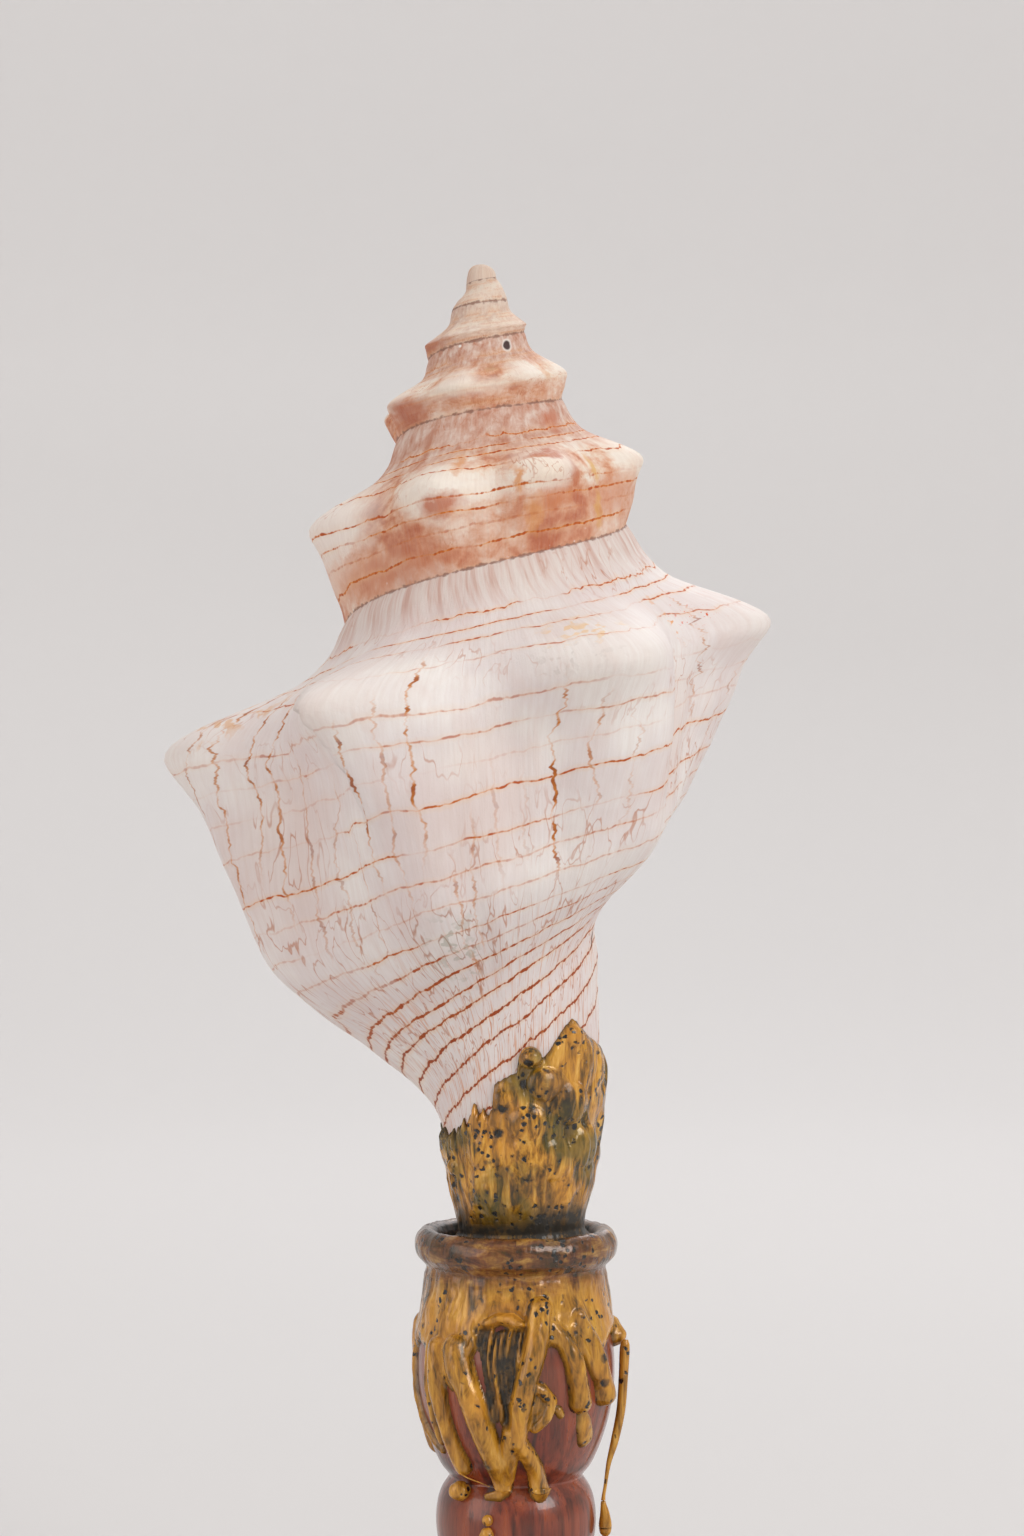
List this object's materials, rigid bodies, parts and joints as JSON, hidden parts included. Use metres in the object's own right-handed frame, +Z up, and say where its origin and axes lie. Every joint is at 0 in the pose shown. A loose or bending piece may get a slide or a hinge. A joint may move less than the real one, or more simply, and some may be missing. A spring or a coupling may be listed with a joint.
{
  "type": "trapezium horse conch shell on a turned stand",
  "caption": "Large right-handed sea shell with a stepped spire and knobbed shoulders, standing on its canal end in the gilded cup of a turned wooden stand.",
  "frame": {"origin": "centre of the foot's underside, where the stand rests", "axes": "+Z up through the stand towards the shell's apex, -Y the shown front of the shell, +X to the right of that view"},
  "size_m": [0.1208, 0.1063, 0.2963],
  "materials": {
    "shell": "satin natural shell with fine broken brown spiral lines",
    "gilded_resin": "gilded, speckled black, glossy",
    "varnished_wood": "red-brown, glossy varnish"
  },
  "bodies": {
    "root": {"shell": "shell", "gilded_collar": "gilded_resin", "gilded_apron": "gilded_resin", "long_drip": "gilded_resin", "upper_bead_drop": "gilded_resin", "lower_bead_drop": "gilded_resin", "waist_lump": "gilded_resin", "spindle": "varnished_wood", "foot": "varnished_wood"}
  },
  "joints": []
}
